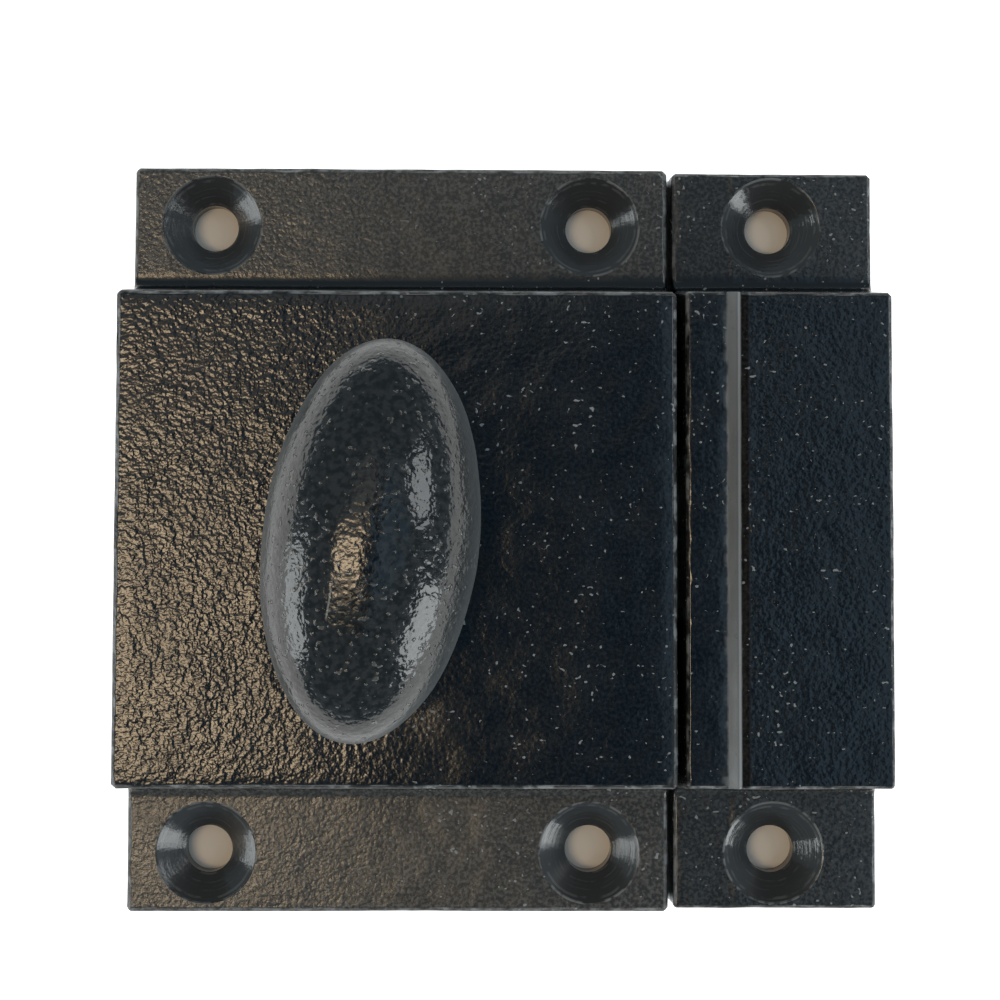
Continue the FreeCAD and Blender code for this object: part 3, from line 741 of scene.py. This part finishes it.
def pale_paper():
    paper = bpy.data.materials.new("pale_paper")
    paper.use_nodes = True
    tree = paper.node_tree
    tree.nodes.clear()
    place = add_node(tree, "ShaderNodeTexCoord").outputs["Object"]
    x, y = split_place(tree, place)[:2]
    middle_x = (cad_low.x + cad_high.x) / 2
    half_size = (cad_high - cad_low) / 2
    beside_x = calculate(tree, "SUBTRACT", distance(tree, x, middle_x), half_size.x)
    beside_y = calculate(tree, "SUBTRACT", calculate(tree, "ABSOLUTE", y), half_size.y)
    beside = largest(tree, beside_x, beside_y)
    # The paper glows evenly outside the part's outline and not beneath it, so the floor seen through the screw
    # holes and the gap carries painted shade
    lit = add_node(
        tree,
        "ShaderNodeBsdfPrincipled",
        Base_Color=(0.62, 0.565, 0.505, 1),
        Roughness=0.9,
        Emission_Color=(0.93, 0.97, 1.0, 1),
        Emission_Strength=spread(tree, beside, -1.0 * MM, 0.0, 0.0, 1.2),
    )
    from_below = add_node(tree, "ShaderNodeNewGeometry").outputs["Backfacing"]
    unseen = largest(tree, from_below, open_floor(tree, x, y, beside))
    clear = add_node(tree, "ShaderNodeBsdfTransparent")
    mixed = add_node(tree, "ShaderNodeMixShader", None, (unseen, lit.outputs[0], clear.outputs[0]))
    add_node(tree, "ShaderNodeOutputMaterial", Surface=mixed.outputs[0])
    return paper


floor_mesh = bpy.data.meshes.new("floor")
floor_corners = [(FLOOR_HALF * x, FLOOR_HALF * y, 0) for x, y in ((-1, -1), (1, -1), (1, 1), (-1, 1))]
floor_mesh.from_pydata(floor_corners, [], [(0, 1, 2, 3)])
floor_mesh.materials.append(pale_paper())
floor = bpy.data.objects.new("floor", floor_mesh)
floor.location.z = -FLOOR_DROP * MM
scene.collection.objects.link(floor)


# Soft studio surroundings: blue-grey walls, a ceiling dim on the left, dark on the right, pale behind
def build_world():
    world = bpy.data.worlds.new("studio")
    scene.world = world
    world.use_nodes = True
    tree = world.node_tree
    tree.nodes.clear()
    direction = add_node(tree, "ShaderNodeTexCoord").outputs["Generated"]
    x, y, z = split_place(tree, direction)
    steep = calculate(tree, "MAXIMUM", z, 0.2)
    slope_x = calculate(tree, "DIVIDE", x, steep)
    slope_y = calculate(tree, "DIVIDE", y, steep)
    overhead = rising(tree, z, 0.8, 0.95)
    to_right = rising(tree, slope_x, -0.1, 0.02)
    far_right = rising(tree, slope_x, 0.08, 0.26)
    behind = product(
        tree,
        rising(tree, slope_y, 0.04, 0.17),
        spread(tree, slope_x, -0.02, 0.07, 1.0, 0.15),
    )
    dark = mix_colours(tree, far_right, (0.03, 0.1, 0.18, 1), (0.4, 0.62, 0.8, 1))
    ceiling = mix_colours(tree, to_right, (0.24, 0.23, 0.2, 1), dark)
    ceiling = mix_colours(tree, behind, ceiling, (0.62, 0.65, 0.66, 1))
    colour = mix_colours(tree, overhead, (0.24, 0.32, 0.37, 1), ceiling)
    background = add_node(tree, "ShaderNodeBackground", Color=colour, Strength=1.0)
    add_node(tree, "ShaderNodeOutputWorld", Surface=background.outputs[0])


def add_panel(name, place, aim, width, height, power, colour):
    light = bpy.data.lights.new(name, "AREA")
    light.shape = "RECTANGLE"
    light.size = width
    light.size_y = height
    light.energy = power
    light.color = colour
    panel = bpy.data.objects.new(name, light)
    panel.location = place
    panel.rotation_euler = (Vector(aim) - Vector(place)).to_track_quat("-Z", "Y").to_euler()
    panel.visible_camera = False
    scene.collection.objects.link(panel)


# Two warm panels overhead to the left, three cool windows aimed at the part
PART_MIDDLE = (0.0, 0.0, 0.01)
DAYLIGHT = (0.95, 0.99, 1.0)
build_world()
add_panel("warm_panel", (-0.223, -0.06, 0.6), (-0.223, -0.06, 0.0), 0.28, 0.09, 0.76, (1.0, 0.76, 0.49))
add_panel("warm_ceiling", (-0.24, -0.08, 0.62), (-0.24, -0.08, 0.0), 0.37, 0.27, 0.72, (1.0, 0.78, 0.53))
add_panel("left_window", (-0.75, -0.18, 0.15), PART_MIDDLE, 0.48, 0.28, 2.1, DAYLIGHT)
add_panel("right_window", (0.6, -0.375, 0.2), PART_MIDDLE, 0.36, 0.38, 2.5, DAYLIGHT)
add_panel("upper_window", (0.446, 0.133, 0.381), PART_MIDDLE, 0.26, 0.2, 0.65, (0.95, 0.98, 1.0))

# Camera above the part, leaning a little: place in millimetres, turns in degrees
CAMERA_PLACE = (6.15, 2.37, 184.0)
CAMERA_TURNS = (3.07, -0.84, 0.16)
camera_data = bpy.data.cameras.new("camera")
camera_data.sensor_width = 36.0
camera_data.lens = 73.75
camera_data.shift_y = -0.1
camera_data.clip_start = 0.01
camera = bpy.data.objects.new("camera", camera_data)
camera.location = [value * MM for value in CAMERA_PLACE]
camera.rotation_euler = [math.radians(turn) for turn in CAMERA_TURNS]
scene.collection.objects.link(camera)
scene.camera = camera
